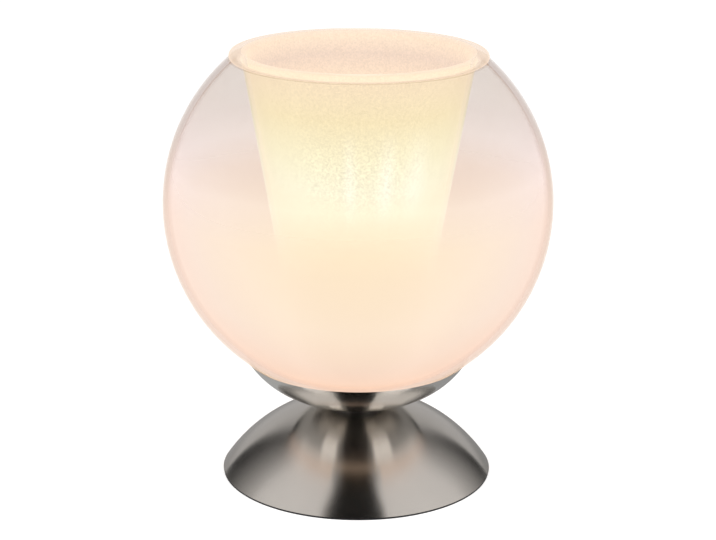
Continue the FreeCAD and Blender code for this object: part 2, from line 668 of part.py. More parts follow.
def make_holder_skirt():
    """The holder's outer half: it screws over the cap, and its collar carries the globe."""
    over_cap = bracket("cap_radius + holder_play")
    over_insert = bracket(INSERT_RADIUS + " + holder_play")
    over_shell = bracket(SHELL_BORE + " + shell_wall + holder_play")
    collar_bottom = bracket("%s - collar_thickness" % COLLAR_TOP)
    return turned("holder_skirt", [
        (over_cap, collar_bottom),
        (COLLAR_RADIUS, collar_bottom),
        (COLLAR_RADIUS, COLLAR_TOP),
        (THREAD_RADIUS, COLLAR_TOP),
        (THREAD_RADIUS, CAP_TOP + " + skirt_height"),
        (over_shell, CAP_TOP + " + skirt_height"),
        (over_shell, INSERT_TOP + " + holder_play"),
        (over_insert, INSERT_TOP + " + holder_play"),
        (over_insert, CAP_TOP + " + holder_play"),
        (over_cap, CAP_TOP + " + holder_play"),
    ])


def make_shade_ring():
    """The ring screwed down the skirt that clamps the globe."""
    bore = bracket(THREAD_RADIUS + " + screw_play")
    return turned("shade_ring", [
        (bore, RING_BOTTOM),
        (RING_RADIUS, RING_BOTTOM),
        (RING_RADIUS, RING_BOTTOM + " + ring_flange"),
        (bore + " + ring_wall", RING_BOTTOM + " + ring_flange"),
        (bore + " + ring_wall", RING_BOTTOM + " + ring_height"),
        (bore, RING_BOTTOM + " + ring_height"),
    ])


# ---- the bulb ----

def make_bulb_base():
    """The bulb's solder contact, black glass cone and screw cap."""
    tip = turned("bulb_contact", [
        ("0", BULB_BOTTOM),
        ("tip_radius", BULB_BOTTOM),
        ("tip_radius", BULB_BOTTOM + " + tip_height"),
        ("0", BULB_BOTTOM + " + tip_height"),
    ])
    insulator = turned("bulb_insulator", [
        ("0", BULB_BOTTOM + " + tip_height"),
        ("tip_radius", BULB_BOTTOM + " + tip_height"),
        ("bulb_cap_radius - insulator_step", BULB_CAP_BOTTOM),
        ("0", BULB_CAP_BOTTOM),
    ])
    cap = turned("bulb_cap", [
        ("0", BULB_CAP_BOTTOM),
        ("bulb_cap_radius", BULB_CAP_BOTTOM),
        ("bulb_cap_radius", BULB_CAP_TOP),
        ("bulb_cap_radius - bulb_cap_wall", BULB_CAP_TOP),
        ("bulb_cap_radius - bulb_cap_wall", BULB_CAP_BOTTOM + " + bulb_cap_wall"),
        ("0", BULB_CAP_BOTTOM + " + bulb_cap_wall"),
    ])
    return [tip, insulator, cap]


def make_bulb_glass():
    """The bulb's envelope: a neck in the cap, a cone and a round end, closed below by its own foot."""
    neck_bottom = bracket("%s - neck_depth" % BULB_CAP_TOP)
    clear_of_cap = bracket("%s + collar_rise" % BULB_CAP_TOP)
    shoulder = bracket("%s - %s" % (BULB_CENTRE, leg("bulb_radius", SHOULDER_RADIUS)))
    inner_round = "bulb_radius - bulb_wall"
    inner_shoulder = bracket(SHOULDER_RADIUS + " - bulb_wall")
    return turned("bulb_glass", [
        ("0", neck_bottom),
        (NECK_RADIUS, neck_bottom),
        (NECK_RADIUS, BULB_CAP_TOP),
        (COLLAR_ROUND, clear_of_cap),
        (SHOULDER_RADIUS, shoulder),
        ("bulb_radius", BULB_CENTRE),
        ("0", BULB_CENTRE + " + bulb_radius"),
        ("0", BULB_CENTRE + " + " + bracket(inner_round)),
        (inner_round, BULB_CENTRE),
        (inner_shoulder, "%s - %s" % (BULB_CENTRE, leg(inner_round, inner_shoulder))),
        (COLLAR_ROUND + " - bulb_wall", clear_of_cap),
        (NECK_RADIUS + " - bulb_wall", BULB_CAP_TOP),
        (NECK_RADIUS + " - bulb_wall", neck_bottom + " + bulb_wall"),
        ("0", neck_bottom + " + bulb_wall"),
    ], {4: ("bulb_radius", "left"), 5: ("bulb_radius", "left"),
        7: (inner_round, "right"), 8: (inner_round, "right")})


def make_bulb_stem():
    """The glass stem that carries the glowing sticks."""
    return turned("bulb_stem", [
        ("0", STEM_BOTTOM),
        (NECK_RADIUS + " - bulb_wall - stem_foot_play", STEM_BOTTOM),
        ("stem_radius", STEM_BOTTOM + " + stem_flare_height"),
        ("stem_radius", STEM_TOP),
        ("0", STEM_TOP),
    ])


def stick_place(number, circle):
    """Where one stick stands on a circle, counted from the front."""
    turn = "(filament_turn + %d)" % (FULL_TURN // FILAMENT_COUNT * number)
    return "%s * sin(%s)" % (circle, turn), "-%s * cos(%s)" % (circle, turn)


def make_bulb_filaments():
    """The glowing sticks, upright on a circle round the bulb's axis."""
    sticks = []
    for number in range(FILAMENT_COUNT):
        across, behind = stick_place(number, "filament_circle")
        sticks.append(primitive("Cylinder", "stick_%d" % number,
                                {"Radius": "filament_radius", "Height": "filament_length"},
                                (across, behind, FILAMENT_BOTTOM)))
    return together("Compound", "bulb_filaments", sticks)


def make_bulb_wires():
    """The wire ring on top of the sticks, the one under them, and the spokes that hold it to the stem."""
    rings = []
    heights = {"upper": FILAMENT_TOP + " + wire_radius", "lower": FILAMENT_BOTTOM + " - wire_radius"}
    for name, height in heights.items():
        rings.append(primitive("Torus", name + "_wire_ring",
                               {"Radius1": "filament_circle", "Radius2": "wire_radius"}, ("0", "0", height)))
    spokes = []
    for number in range(FILAMENT_COUNT):
        across, behind = stick_place(number, "stem_radius")
        turn = math.radians(size("filament_turn") + FULL_TURN / FILAMENT_COUNT * number)
        outwards = FreeCAD.Rotation(FreeCAD.Vector(math.cos(turn), math.sin(turn), 0), HALF_TURN / 2)
        spokes.append(primitive("Cylinder", "spoke_%d" % number,
                                {"Radius": "wire_radius", "Height": "filament_circle - stem_radius"},
                                (across, behind, FILAMENT_BOTTOM + " - wire_radius"), outwards))
    return together("MultiFuse", "bulb_wires", rings + spokes)


def sub_parts():
    """Every piece of the lamp, from the table upwards."""
    pieces = [make_base_pad(), make_base_weight(), make_base_dome(), make_cable_inlet()]
    pieces += [make_threaded_tube(), make_tube_nut()] + make_tube_bushes() + make_washers()
    pieces += [make_cup(), make_cup_gasket(), make_globe_glass(), make_inner_glass()]
    pieces += [make_holder_cap(), make_holder_insert(), make_terminal_screws(), make_holder_contact()]
    pieces += [make_holder_shell(), make_holder_skirt(), make_shade_ring()]
    pieces += make_bulb_base()
    pieces += [make_bulb_glass(), make_bulb_stem(), make_bulb_filaments(), make_bulb_wires()]
    return pieces


def check(pieces):
    """Stop if anything in the document failed, or a piece has no sound solid."""
    for item in doc.Objects:
        if "Invalid" in item.State or "Error" in item.State:
            raise RuntimeError("%s failed: %s" % (item.Label, item.State))
    for piece in pieces:
        shape = piece.Shape
        if shape.isNull() or not shape.isValid() or not shape.Solids:
            raise RuntimeError(piece.Label + " has no valid solid")


def write(pieces):
    """Write each piece to a file named after it."""
    os.makedirs("parts", exist_ok=True)
    for piece in pieces:
        piece.Shape.exportStep("parts/%s.step" % piece.Label)
        box = piece.Shape.BoundBox
        print("%-18s %2d solid(s) %10.1f mm3  z %7.2f to %7.2f  r %6.2f" % (
            piece.Label, len(piece.Shape.Solids), piece.Shape.Volume, box.ZMin, box.ZMax, box.XMax))


made = sub_parts()
doc.recompute()
check(made)
write(made)
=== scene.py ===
# %% [markdown]
# # A glass globe table lamp, dressed for its portrait
# The lamp is a blown globe of glass with a frosted, lit tumbler hanging in its open mouth. It stands on a
# spun metal cup and a domed metal foot. The solids come ready made at their real size, in metres, with the
# table at z = 0 and the front towards -Y. This lesson gives every piece its finish, turns the globe and the
# tumbler anew so that each face of their glass can have its own look, and then lights and photographs the
# lamp.

# %% Load the lamp's solids
import math

import bmesh
import bpy
from mathutils import Matrix, Vector


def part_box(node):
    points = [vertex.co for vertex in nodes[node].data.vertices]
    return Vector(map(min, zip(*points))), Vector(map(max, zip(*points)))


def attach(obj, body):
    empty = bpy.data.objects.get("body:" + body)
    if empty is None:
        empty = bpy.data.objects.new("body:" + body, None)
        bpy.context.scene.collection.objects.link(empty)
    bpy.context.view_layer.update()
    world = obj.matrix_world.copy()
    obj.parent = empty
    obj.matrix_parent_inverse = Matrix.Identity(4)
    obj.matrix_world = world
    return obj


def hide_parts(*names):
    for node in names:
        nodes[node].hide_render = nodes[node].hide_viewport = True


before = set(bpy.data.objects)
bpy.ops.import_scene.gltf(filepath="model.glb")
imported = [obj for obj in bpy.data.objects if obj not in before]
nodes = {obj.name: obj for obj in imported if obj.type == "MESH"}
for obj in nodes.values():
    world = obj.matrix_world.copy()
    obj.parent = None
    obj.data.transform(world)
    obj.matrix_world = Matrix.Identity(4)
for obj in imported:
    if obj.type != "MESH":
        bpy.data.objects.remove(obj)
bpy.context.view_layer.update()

# %% [markdown]
# ## Sizes that the looks need
# A finish often has to know where it is on the piece: the glass is smoky at the mouth and milky below, and
# the inner glass glows most beside the bulb. Instead of typing such heights, we read them from the solids'
# own boxes, so the looks follow the lamp if it ever changes size. Only what a box can't tell, such as the
# thickness of a glass, is written here.

# %% Read the main heights and radii
globe_low, globe_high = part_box("globe_glass")
tumbler_low, tumbler_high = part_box("inner_glass")

GLOBE_RADIUS = globe_high.x
GLOBE_WALL = 0.003
GLOBE_HOLE = 0.0215
GLOBE_CENTRE = globe_low.z + math.sqrt(GLOBE_RADIUS ** 2 - GLOBE_HOLE ** 2)
MOUTH = globe_high.z
print("globe: radius %.1f mm, centre at %.1f mm, mouth at %.1f mm" % (
    GLOBE_RADIUS * 1000, GLOBE_CENTRE * 1000, MOUTH * 1000))

# %% [markdown]
# ## Small helpers for shader nodes
# A material is a graph: textures feed maths, maths feeds the shader. Building one by hand takes three lines
# for each node. The first helper makes a node, sets what is a number or colour, and links what is another
# node's output, so that one finish reads like a short recipe. The others name the few steps that nearly
# every finish of this lamp uses: a sum, a ramp of colours, a noise, a bump, a height.

# %% Nodes, and the start and end of a material
def add(tree, kind, links=None, **settings):
    """Add a node; links maps an input's name or number to a value or to another node's output."""
    made = tree.nodes.new("ShaderNode" + kind)
    for name, value in settings.items():
        setattr(made, name, value)
    for key, value in (links or {}).items():
        if isinstance(value, bpy.types.NodeSocket):
            tree.links.new(value, made.inputs[key])
        else:
            made.inputs[key].default_value = value
    return made


def start_material(name):
    """A new node material that is still empty, and its tree."""
    material = bpy.data.materials.new(name)
    material.use_nodes = True
    material.node_tree.nodes.clear()
    return material, material.node_tree


def surface(tree, kind, links):
    """The last shader of a material, joined to the material's output."""
    shader = add(tree, kind, links)
    add(tree, "OutputMaterial", {"Surface": shader.outputs[0]})


print("materials can be started and closed")

# %% Sums, colours and ramps
def math_node(tree, operation, first, second):
    """One sum on two values."""
    return add(tree, "Math", {0: first, 1: second}, operation=operation).outputs[0]


def full(colour):
    """A colour with full cover; a single number gives a grey."""
    if isinstance(colour, float):
        colour = (colour, colour, colour)
    return tuple(colour) + (1.0,)


def ramp(tree, factor, stops):
    """A ramp through stops of a position and a colour or grey."""
    made = add(tree, "ValToRGB", {"Fac": factor})
    elements = made.color_ramp.elements
    elements.remove(elements[0])
    elements[0].position = stops[0][0]
    elements[0].color = full(stops[0][1])
    for position, colour in stops[1:]:
        elements.new(position).color = full(colour)
    return made.outputs["Color"]


def times(tree, first, second):
    """Two colours multiplied."""
    return add(tree, "VectorMath", {0: first, 1: second}, operation="MULTIPLY").outputs[0]


def either(tree, choice, at_zero, at_one):
    """One colour where the choice is 0 and the other where it is 1."""
    return add(tree, "Mix", {0: choice, 6: at_zero, 7: at_one}, data_type="RGBA").outputs[2]


print("sums, colours and ramps ready")

# %% Where a point is, and how it is seen
def place_on(tree):
    """Where a point is on the piece, in metres from the middle of the foot's underside."""
    return add(tree, "TexCoord").outputs["Object"]


def split_place(tree):
    """The same place as a node with the outputs X, Y and Z."""
    return add(tree, "SeparateXYZ", {0: place_on(tree)})


def height_between(tree, low, high):
    """0 at one height of the piece and 1 at another."""
    return add(tree, "MapRange", {0: split_place(tree).outputs["Z"], 1: low, 2: high}).outputs[0]


def turn_from_front(tree):
    """The turn round the lamp's axis in radians: 0 at the front and growing towards the right."""
    place = split_place(tree)
    to_front = math_node(tree, "MULTIPLY", place.outputs["Y"], -1.0)
    return math_node(tree, "ARCTAN2", place.outputs["X"], to_front)


def facing(tree):
    """0 where the surface faces the viewer and 1 at its outline."""
    return add(tree, "LayerWeight", {"Blend": 0.5}).outputs["Facing"]


def through_wall(tree):
    """1 where an inner face is seen from outside, through its wall, and 0 where it is seen from within."""
    return add(tree, "NewGeometry").outputs["Backfacing"]


print("places and views ready")

# %% Unevenness
def noise(tree, where, scale, detail, roughness):
    """Soft random patches from 0 to 1; the scale says how many there are to a metre."""
    return add(tree, "TexNoise", {
        "Vector": where, "Scale": scale, "Detail": detail, "Roughness": roughness}).outputs["Fac"]


def bumps(tree, height, strength, depth):
    """A surface that a texture raises by up to the depth."""
    return add(tree, "Bump", {"Strength": strength, "Distance": depth, "Height": height}).outputs[0]


def drifting(tree, patches, colour, drift):
    """A colour that is a little darker in some patches and lighter in others."""
    return ramp(tree, patches, [
        (0.3, [part * (1.0 - drift) for part in colour]),
        (0.7, [min(1.0, part * (1.0 + drift)) for part in colour])])


print("noise, bumps and drift ready")

# %% [markdown]
# ## Spun satin nickel
# The cup and the dome are pressed on a lathe and then brushed while they spin, so fine scratches run round
# the axis. Two things make that look. An anisotropic shader stretches each reflection across the scratches,
# which gives the long wedges of light and dark from the top of the dome to its edge. And a noise that
# changes fast outwards and upwards, but hardly round the axis, gives the single scratches in bump and in
# roughness. A flat metal shader would show neither. The cup is smoother than the dome. Both are the same
# nickel, but the cup's is given a lighter colour and the dome's a darker one: painted light on the cup and
# painted shade on the dome.

# %% Satin nickel
SCRATCHES_OUTWARDS = 3500.0
SCRATCH_CHANGES_ROUND = 2.0
SCRATCH_DEPTH = 0.00004
SCRATCH_DULLING = 0.06
SMUDGE_DULLING = 0.05
NICKEL_DRIFT = 0.03


def round_the_axis(tree):
    """Coordinates in which the spun scratches are long and thin."""
    place = split_place(tree)
    flat = add(tree, "CombineXYZ", {0: place.outputs["X"], 1: place.outputs["Y"]}).outputs[0]
    radius = add(tree, "VectorMath", {0: flat}, operation="LENGTH").outputs["Value"]
    turn = math_node(tree, "ARCTAN2", place.outputs["Y"], place.outputs["X"])
    return add(tree, "CombineXYZ", {
        0: math_node(tree, "MULTIPLY", radius, SCRATCHES_OUTWARDS),
        1: math_node(tree, "MULTIPLY", place.outputs["Z"], SCRATCHES_OUTWARDS),
        2: math_node(tree, "MULTIPLY", turn, SCRATCH_CHANGES_ROUND),
    }).outputs[0]


def satin_nickel(name, roughness, colour, anisotropy):
    """Nickel plate with spun scratches round the lamp's axis."""
    material, tree = start_material(name)
    scratches = noise(tree, round_the_axis(tree), scale=1.0, detail=3.0, roughness=0.6)
    smudges = noise(tree, place_on(tree), scale=35.0, detail=4.0, roughness=0.55)
    dulling = math_node(tree, "ADD", math_node(tree, "MULTIPLY", scratches, SCRATCH_DULLING),
                        math_node(tree, "MULTIPLY", smudges, SMUDGE_DULLING))
    mean_dulling = (SCRATCH_DULLING + SMUDGE_DULLING) / 2
    surface(tree, "BsdfPrincipled", {
        "Base Color": drifting(tree, smudges, colour, NICKEL_DRIFT), "Metallic": 1.0,
        "Roughness": math_node(tree, "ADD", dulling, roughness - mean_dulling),
        "Anisotropic": anisotropy, "Anisotropic Rotation": 0.25,
        "Tangent": add(tree, "Tangent", direction_type="RADIAL", axis="Z").outputs[0],
        "Normal": bumps(tree, scratches, strength=0.10, depth=SCRATCH_DEPTH),
    })
    return material


# The dome's darker nickel colour is painted shade, and the cup's lighter one is painted light.
DOME_NICKEL = satin_nickel(
    "spun_nickel_dome", roughness=0.215, colour=(0.52, 0.483, 0.445), anisotropy=0.95)
CUP_NICKEL = satin_nickel(
    "spun_nickel_cup", roughness=0.13, colour=(0.92, 0.90, 0.86), anisotropy=0.9)
print("nickel:", DOME_NICKEL.name, CUP_NICKEL.name)

# %% [markdown]
# ## Clear glass
# The globe is clear, slightly smoky glass, and only its inside is coated. That is why the real one has a
# thin grey line round its outline, as wide as the wall, outside the glowing white. A real refracting glass
# would need many light paths to show a lamp that is lit from inside, and would still be full of noise, so
# we give each face a cover and a glow instead. On the outer face the clear glass hardly covers what we look
# at straight through it. It covers most where the sight line grazes the inner face and so runs through the
# most glass, and it clears again towards the very outline. The tumbler's wall, its lip and the bulb are the
# same recipe with other numbers.

# %% Clear outer face of the globe
def globe_height(tree):
    """0 at the lowest point that a whole globe would have and 1 at its highest."""
    return height_between(tree, GLOBE_CENTRE - GLOBE_RADIUS, GLOBE_CENTRE + GLOBE_RADIUS)


def clear_glass(name, colour, cover, glow, rim, gloss=0.1):
    """Thin clear glass: cover by how it is seen, and a painted glow by height that the rim ramp darkens
    towards the outline as painted shade.
    """
    material, tree = start_material(name)
    waves = noise(tree, place_on(tree), scale=14.0, detail=2.0, roughness=0.4)
    surface(tree, "BsdfPrincipled", {
        "Base Color": full(colour), "Roughness": 0.14, "IOR": 1.5, "Specular IOR Level": gloss,
        "Alpha": ramp(tree, facing(tree), cover), "Normal": bumps(tree, waves, strength=0.05, depth=0.0005),
        # The rim ramp darkens the painted glow towards the outline: painted shade.
        "Emission Color": times(tree, ramp(tree, globe_height(tree), glow), ramp(tree, facing(tree), rim)),
        "Emission Strength": 1.0,
    })
    return material


GLOBE_CLEAR = clear_glass(
    "globe_clear_wall", (0.10, 0.09, 0.085),
    cover=[(0.0, 0.02), (0.55, 0.04), (0.68, 0.08), (0.735, 0.38), (0.755, 0.62), (0.777, 0.80),
           (0.827, 0.76), (0.858, 0.64), (0.90, 0.42), (1.0, 0.12)],
    glow=[(0.20, (0.76, 0.57, 0.47)), (0.50, (0.72, 0.53, 0.43)), (0.62, (0.62, 0.47, 0.40)),
          (0.72, (0.49, 0.395, 0.36)), (0.85, (0.46, 0.385, 0.36))],
    rim=[(0.78, 1.0), (0.88, (0.86, 0.87, 0.84))], gloss=0.05)
print("outer wall:", GLOBE_CLEAR.name)

# %% [markdown]
# ## The opal coat
# The inside of the globe is sprayed with an opal coat that starts thin at the mouth and is solid from the
# middle down. One ramp by height gives its cover and one its glow, with a little drift so that no level
# line is ruler straight. Two more go by the view: towards the outline the coat covers more, because we look
# along it, and the glow of its near half is warmer in the middle and darker towards the outline, painted
# light and painted shade. The far half's glow is dimmed a little and evenly, as painted shade. The coat's
# own colour is kept dark and the glow carries the look. With a pale colour the picture's noise filter,
# which works from the surfaces' colours, would draw a faint ring where the coat becomes thin.

# %% Opal coat inside the globe
OPAL_DRIFT = 0.02
OPAL_COVER = [(0.43, 1.0), (0.50, 0.90), (0.55, 0.74), (0.60, 0.58), (0.65, 0.46), (0.70, 0.38), (0.78, 0.33),
              (0.88, 0.28)]
OPAL_EDGE_COVER = [(0.74, 0.0), (0.88, 0.40), (1.0, 0.85)]
OPAL_GLOW = [(0.02, (0.894, 0.623, 0.453)), (0.30, (0.892, 0.728, 0.604)), (0.50, (0.892, 0.738, 0.634)),
             (0.60, (0.852, 0.718, 0.674)), (0.68, (0.60, 0.45, 0.405)), (0.80, (0.345, 0.205, 0.11)),
             (0.90, (0.285, 0.18, 0.10))]
# Painted light and shade on the glow by view: the near half warmer in the middle and darker at the outline,
# the far half a little dimmer.
OPAL_NEAR_GLOW_SHADING = [(0.0, (1.0, 0.97, 0.77)), (0.30, (1.01, 1.0, 0.92)), (0.55, (0.98, 0.965, 0.96)),
                  (0.75, (0.98, 0.93, 0.93)), (0.90, (0.93, 0.84, 0.83)), (1.0, (0.80, 0.68, 0.66))]
OPAL_FAR_GLOW_SHADING = (0.98, 0.97, 0.99)


def opal_coat(name):
    """The sprayed coat: smoky and thin at the mouth, solid warm white below, lit from inside."""
    material, tree = start_material(name)
    cloud = noise(tree, place_on(tree), scale=18.0, detail=3.0, roughness=0.5)
    drift = math_node(tree, "MULTIPLY", math_node(tree, "SUBTRACT", cloud, 0.5), OPAL_DRIFT)
    level = math_node(tree, "ADD", globe_height(tree), drift)
    # The glow is shaded by how the coat is seen: painted light and painted shade.
    glow_shading = either(tree, through_wall(tree), full(OPAL_FAR_GLOW_SHADING), ramp(tree, facing(tree), OPAL_NEAR_GLOW_SHADING))
    surface(tree, "BsdfPrincipled", {
        "Base Color": full((0.090, 0.082, 0.074)), "Roughness": 0.4, "Specular IOR Level": 0.2,
        "Alpha": math_node(tree, "MAXIMUM", ramp(tree, level, OPAL_COVER),
                           ramp(tree, facing(tree), OPAL_EDGE_COVER)),
        "Emission Color": times(tree, ramp(tree, level, OPAL_GLOW), glow_shading), "Emission Strength": 1.0,
    })
    return material


GLOBE_OPAL = opal_coat("globe_opal_coat")
print("inner wall:", GLOBE_OPAL.name)

# %% [markdown]
# ## The frosted inner glass
# The tumbler is thick clear glass, frosted on its inside by a coat of fine glass grit. Lit from within it
# looks like sugar: a warm glow full of tiny sparkles. The grain is a fine cell texture with a noise: each
# cell is a little brighter or darker, and the same cells raise the surface so that the light of the room
# catches them. The glow has one ramp of colours for the frost seen from outside, lightest beside the bulb,
# and a darker, pinker one for the far inside seen through the mouth. Soft upright streaks stand where the
# bulb's glowing sticks shine through.

# %% The grain of the frost
GRAINS = 1300.0
VEINS = 1000.0
VEIN_SQUEEZE = (1.0, 1.0, 0.3)
CELL_SHARE = 0.16
PATCH_SHARE = 0.24
VEIN_SHARE = 0.12


def sugar_grain(tree):
    """The grit that raises the surface, and the same grit with upright veins, which sets its brightness."""
    where = place_on(tree)
    cells = add(tree, "TexVoronoi", {"Vector": where, "Scale": GRAINS}, feature="F1")
    cell_shade = add(tree, "SeparateColor", {0: cells.outputs["Color"]}).outputs[0]
    patches = noise(tree, where, GRAINS, detail=2.0, roughness=0.7)
    veins = noise(tree, times(tree, where, VEIN_SQUEEZE), VEINS, detail=2.0, roughness=0.6)
    grit = math_node(tree, "ADD", math_node(tree, "MULTIPLY", cell_shade, CELL_SHARE),
                     math_node(tree, "MULTIPLY", patches, PATCH_SHARE))
    return grit, math_node(tree, "ADD", grit, math_node(tree, "MULTIPLY", veins, VEIN_SHARE))


print("grain of %.1f mm" % (1000 / GRAINS))

# %% Streaks of light from the bulb's sticks
STREAKS = (        # turn from the front and half width in degrees, and strength
    (-5.0, 3.2, 0.14), (17.0, 4.5, 0.16), (37.0, 8.0, 0.12), (-140.0, 5.0, 0.12), (140.0, 5.0, 0.12))


def streaks_of_light(tree):
    """Bell-shaped streaks round the axis, added up."""
    turn = turn_from_front(tree)
    light = 0.0
    for place, width, strength in STREAKS:
        away = math_node(tree, "DIVIDE", math_node(tree, "SUBTRACT", turn, math.radians(place)),
                         math.radians(width))
        bell = math_node(tree, "POWER", math.exp(-1.0), math_node(tree, "MULTIPLY", away, away))
        light = math_node(tree, "ADD", math_node(tree, "MULTIPLY", bell, strength), light)
    return light


print(len(STREAKS), "streaks")

# %% Frosted inner face of the tumbler
BESIDE_BULB = [(0.44, 0.0), (0.56, 1.0), (0.66, 1.0), (0.80, 0.0)]
LEVEL_VIEW = [(0.05, 1.0), (0.40, 0.0)]
SPARKLE_WITHIN = 0.9
SPARKLE_MORE_OUTSIDE = 0.1
SPARKLE_MORE_AT_BULB = 1.6
STREAK_COLOUR = (0.6, 0.8, 1.3)
# Painted glow of the lit frost by height, seen from outside, and a darker one for the inside seen through the
# mouth, which is painted shade.
FROST_GLOW_OUTSIDE = [(0.0, (0.88, 0.68, 0.36)), (0.40, (0.95, 0.93, 0.62)), (0.58, (0.97, 1.06, 0.80)),
                 (0.70, (0.97, 0.98, 0.66)), (0.83, (0.97, 0.87, 0.53)), (0.97, (0.98, 0.81, 0.57))]
FROST_GLOW_WITHIN = [(0.0, (0.88, 0.72, 0.50)), (0.60, (0.88, 0.76, 0.50)), (0.82, (0.76, 0.57, 0.42)),
                (0.92, (0.61, 0.455, 0.375)), (0.98, (0.75, 0.57, 0.43))]


def frost_sparkle(tree, sugar, beside_bulb, outside):
    """The grain as a brightness about 1, with most contrast beside the bulb when it is seen straight on."""
    level_view = ramp(tree, facing(tree), LEVEL_VIEW)
    near_bulb = math_node(tree, "MULTIPLY", math_node(tree, "MULTIPLY", beside_bulb, level_view), outside)
    contrast = math_node(
        tree, "ADD", math_node(tree, "MULTIPLY", near_bulb, SPARKLE_MORE_AT_BULB),
        math_node(tree, "ADD", math_node(tree, "MULTIPLY", outside, SPARKLE_MORE_OUTSIDE), SPARKLE_WITHIN))
    mean_grain = (CELL_SHARE + PATCH_SHARE + VEIN_SHARE) / 2
    grain = math_node(tree, "MULTIPLY", math_node(tree, "SUBTRACT", sugar, mean_grain), contrast)
    return math_node(tree, "ADD", grain, 1.0)


def frosted_glow(name):
    """Grit-frosted glass, lit by the bulb behind it."""
    material, tree = start_material(name)
    height = height_between(tree, tumbler_low.z, tumbler_high.z)
    outside = through_wall(tree)
    grit, sugar = sugar_grain(tree)
    beside_bulb = ramp(tree, height, BESIDE_BULB)
    glow = either(tree, outside, ramp(tree, height, FROST_GLOW_WITHIN), ramp(tree, height, FROST_GLOW_OUTSIDE))
    hot = math_node(tree, "MULTIPLY", streaks_of_light(tree), beside_bulb)
    streaks = add(tree, "VectorMath", {0: STREAK_COLOUR, 3: hot}, operation="SCALE").outputs[0]
    surface(tree, "BsdfPrincipled", {
        "Base Color": full((0.22, 0.20, 0.17)), "Roughness": 0.55, "Specular IOR Level": 0.3, "Alpha": 0.97,
        "Emission Color": add(tree, "VectorMath", {0: glow, 1: streaks}, operation="ADD").outputs[0],
        "Emission Strength": frost_sparkle(tree, sugar, beside_bulb, outside),
        "Normal": bumps(tree, grit, strength=0.35, depth=0.0003),
    })
    return material


TUMBLER_FROST = frosted_glow("tumbler_frost")
print("frost:", TUMBLER_FROST.name)

# %% [markdown]
# ## The tumbler's clear wall and lip
# Outside the frost the tumbler has 2.5 mm of clear glass. Real glass bends the frost's light so far outwards
# that the tumbler looks yellow nearly to its outline, and only a thin line at the very edge is darker. Our
# clear face does not bend light, so it gets a painted glow in the colours of the lit frost, from cream low
# down to peach under the lip, with painted shade at the very edge, and a cover that grows towards the
# outline. The lip is solid glass without frost, and its painted glow is weaker.

# %% Clear faces of the tumbler
TUMBLER_CLEAR = clear_glass(
    "tumbler_clear_wall", (0.06, 0.05, 0.045),
    cover=[(0.0, 0.04), (0.40, 0.08), (0.60, 0.30), (0.80, 0.78), (1.0, 0.90)],
    glow=[(0.62, (0.98, 0.93, 0.66)), (0.74, (0.97, 0.87, 0.58)), (0.86, (0.98, 0.80, 0.57))],
    rim=[(0.55, 1.0), (0.86, 0.97), (0.95, (0.72, 0.78, 0.85))])
LIP_GLASS = clear_glass(
    "lip_glass", (0.06, 0.05, 0.045), cover=[(0.0, 0.35), (0.6, 0.45), (1.0, 0.85)],
    glow=[(0.5, (0.80, 0.63, 0.48))], rim=[(0.45, 1.0), (0.95, (0.90, 0.87, 0.86))])
print("clear faces:", TUMBLER_CLEAR.name, LIP_GLASS.name)

# %% [markdown]
# ## The plain finishes
# Of the other pieces only the pad's edge shows in normal use. The rest show when the lamp is taken apart,
# through the mouth, or from the back.
# They share one recipe with different numbers: a base colour with slight drift, a fine grain in bump, and
# roughness that varies a little, which is what moulded plastic, cast iron or plated steel have in common.
# The bulb's sticks also glow, and its envelope is clear glass.

# %% One recipe for plain finishes
GRAINS_IN_A_PATCH = 12.0
UNEVEN_ROUGHNESS = 0.15


def plain_finish(name, colour, roughness, metallic=0.0, grain=600.0, depth=0.0001, drift=0.08, glow=0.0):
    """Colour with drift, grain in bump and uneven roughness."""
    material, tree = start_material(name)
    fine = noise(tree, place_on(tree), grain, detail=3.0, roughness=0.6)
    broad = noise(tree, place_on(tree), grain / GRAINS_IN_A_PATCH, detail=3.0, roughness=0.5)
    dullest = min(1.0, roughness * (1.0 + UNEVEN_ROUGHNESS))
    rough = add(tree, "MapRange", {0: fine, 3: roughness * (1.0 - UNEVEN_ROUGHNESS), 4: dullest})
    look = {"Base Color": drifting(tree, broad, colour, drift), "Metallic": metallic,
            "Roughness": rough.outputs[0], "Normal": bumps(tree, fine, strength=0.4, depth=depth)}
    if glow:
        look.update({"Emission Color": full(colour), "Emission Strength": glow})
    surface(tree, "BsdfPrincipled", look)
    return material


print("recipe for plain finishes ready")

